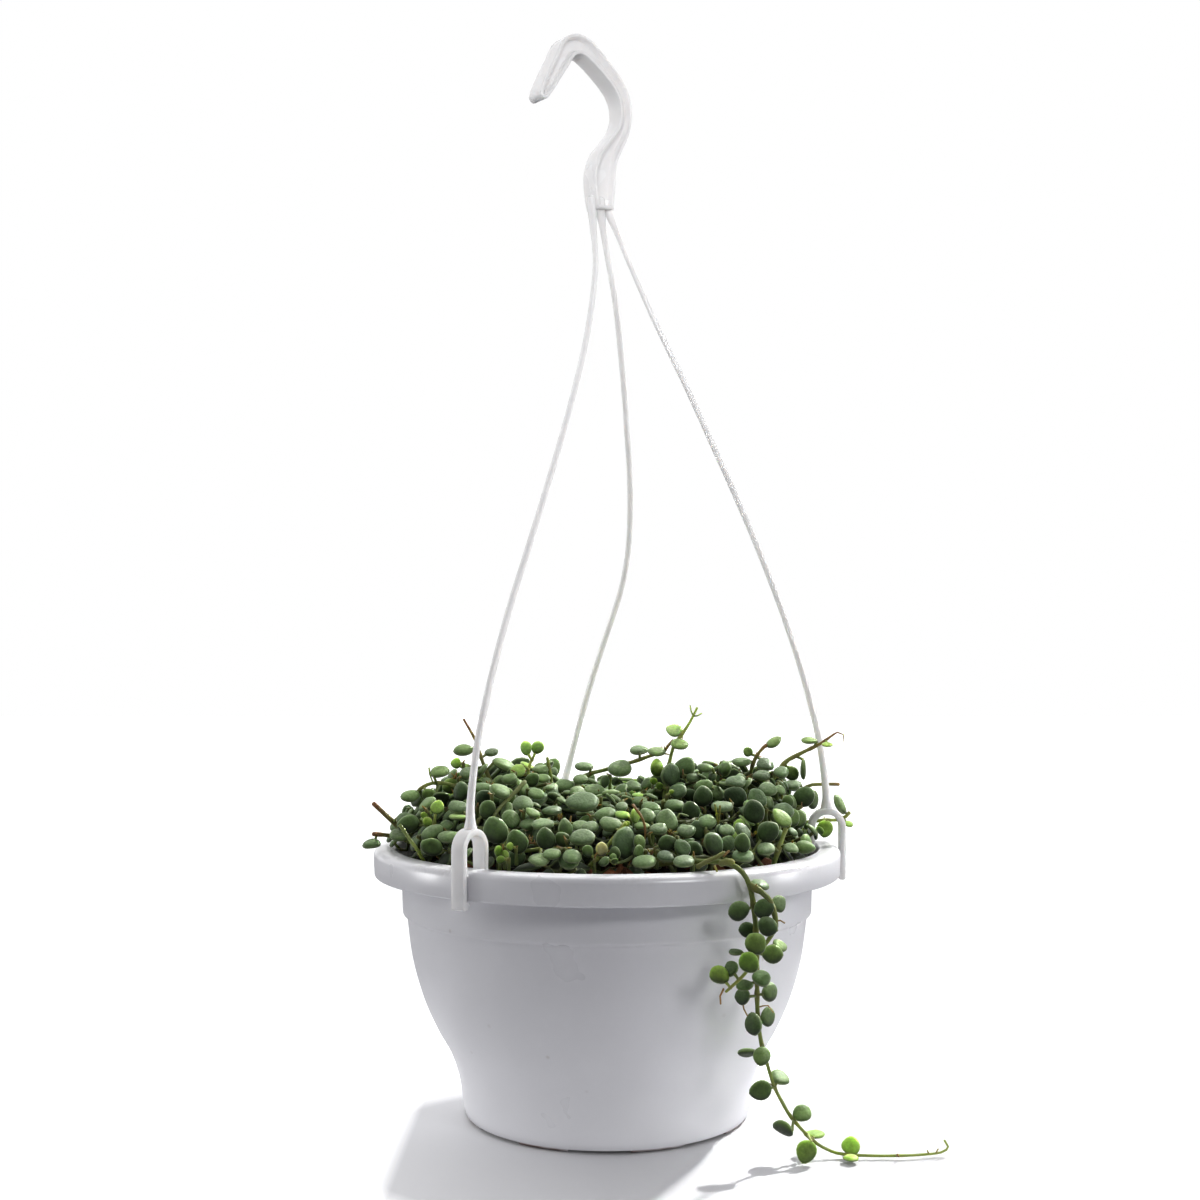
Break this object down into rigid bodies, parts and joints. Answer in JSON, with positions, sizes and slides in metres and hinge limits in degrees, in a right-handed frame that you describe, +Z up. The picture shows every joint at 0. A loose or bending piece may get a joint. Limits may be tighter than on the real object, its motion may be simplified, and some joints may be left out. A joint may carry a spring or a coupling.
{
  "type": "potted string of nickels",
  "caption": "Trailing plant with small round fleshy leaves in a white plastic pot, with a clip-on hanger that ends in a hook.",
  "frame": {"origin": "centre of the pot's flat base, on the surface that the pot stands on", "axes": "+Z up along the pot's axis, the front with the trailing vine towards -Y, +X to the right seen from the front"},
  "size_m": [0.2358, 0.2021, 0.4606],
  "materials": {
    "pot_plastic": "smooth white moulded plastic, softly glossy",
    "hanger_plastic": "smooth white moulded plastic, slightly milky",
    "potting_mix": "moist dark peat and bark mix, rough",
    "foliage": "fleshy grey-green leaves with a faint powdery bloom, satin",
    "trailing_foliage": "fleshy green leaves with a faint powdery bloom, younger and brighter to the tip, satin"
  },
  "bodies": {
    "root": {"hanger_clip_back": "hanger_plastic", "hanger_clip_left": "hanger_plastic", "hanger_clip_right": "hanger_plastic", "hanger_hook": "hanger_plastic", "hanger_strand_back": "hanger_plastic", "hanger_strand_left": "hanger_plastic", "hanger_strand_right": "hanger_plastic", "pot": "pot_plastic", "potting_mix": "potting_mix", "shoot_centre_long": "foliage", "shoot_front_cap": "foliage", "shoot_front_dark": "foliage", "shoot_front_left": "foliage", "shoot_front_middle": "foliage", "shoot_front_right": "foliage", "shoot_green_stub": "foliage", "shoot_left_arch": "foliage", "shoot_left_low": "foliage", "shoot_left_stub": "foliage", "shoot_left_tall": "foliage", "shoot_lime_pair": "foliage", "shoot_right_edge": "foliage", "shoot_right_long": "foliage", "shoot_right_stub": "foliage", "shoot_right_upright": "foliage", "shoot_top": "foliage", "vine_01": "foliage", "vine_02": "foliage", "vine_03": "foliage", "vine_04": "foliage", "vine_05": "foliage", "vine_06": "foliage", "vine_07": "foliage", "vine_08": "foliage", "vine_09": "foliage", "vine_10": "foliage", "vine_11": "foliage", "vine_12": "foliage", "vine_13": "foliage", "vine_14": "foliage", "vine_15": "foliage", "vine_16": "foliage", "vine_trailing": "trailing_foliage"}
  },
  "joints": []
}
